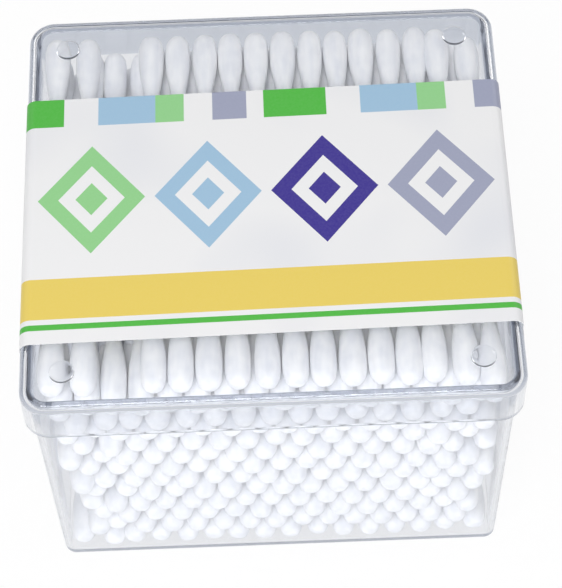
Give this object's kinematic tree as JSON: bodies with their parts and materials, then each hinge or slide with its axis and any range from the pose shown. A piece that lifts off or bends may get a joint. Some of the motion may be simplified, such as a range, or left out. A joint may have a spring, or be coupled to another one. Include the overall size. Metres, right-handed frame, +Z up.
{
  "type": "pack of cotton swabs",
  "caption": "Clear moulded box with a lift-off lid and a paper label band, filled with rows of double-ended cotton swabs stacked lengthwise.",
  "frame": {"origin": "under the middle of the tub's base, on the surface that the box stands on", "axes": "+Z up, +Y along the swabs to the back of the box, +X across the rows to the right"},
  "size_m": [0.0836, 0.0812, 0.0575],
  "materials": {
    "clear_tub": "clear gloss",
    "clear_lid": "clear gloss",
    "label_paper": "printed paper, satin",
    "stick_paper": "rolled paper, matt",
    "cotton": "spun cotton"
  },
  "bodies": {
    "tub": {"tub": "clear_tub", "paper_sticks_row_01": "stick_paper", "paper_sticks_row_02": "stick_paper", "paper_sticks_row_03": "stick_paper", "paper_sticks_row_04": "stick_paper", "paper_sticks_row_05": "stick_paper", "paper_sticks_row_06": "stick_paper", "paper_sticks_row_07": "stick_paper", "paper_sticks_row_08": "stick_paper", "paper_sticks_row_09": "stick_paper", "paper_sticks_row_10": "stick_paper", "paper_sticks_row_11": "stick_paper", "paper_sticks_row_12": "stick_paper", "paper_sticks_row_13": "stick_paper", "cotton_buds_row_01": "cotton", "cotton_buds_row_02": "cotton", "cotton_buds_row_03": "cotton", "cotton_buds_row_04": "cotton", "cotton_buds_row_05": "cotton", "cotton_buds_row_06": "cotton", "cotton_buds_row_07": "cotton", "cotton_buds_row_08": "cotton", "cotton_buds_row_09": "cotton", "cotton_buds_row_10": "cotton", "cotton_buds_row_11": "cotton", "cotton_buds_row_12": "cotton", "cotton_buds_row_13": "cotton"},
    "lid": {"lid": "clear_lid", "label": "label_paper"}
  },
  "joints": [
    {"name": "lid_lift", "type": "slide", "parent": "tub", "child": "lid", "axis": [0, 0, 1], "range_m": [0, 0.05]}
  ]
}
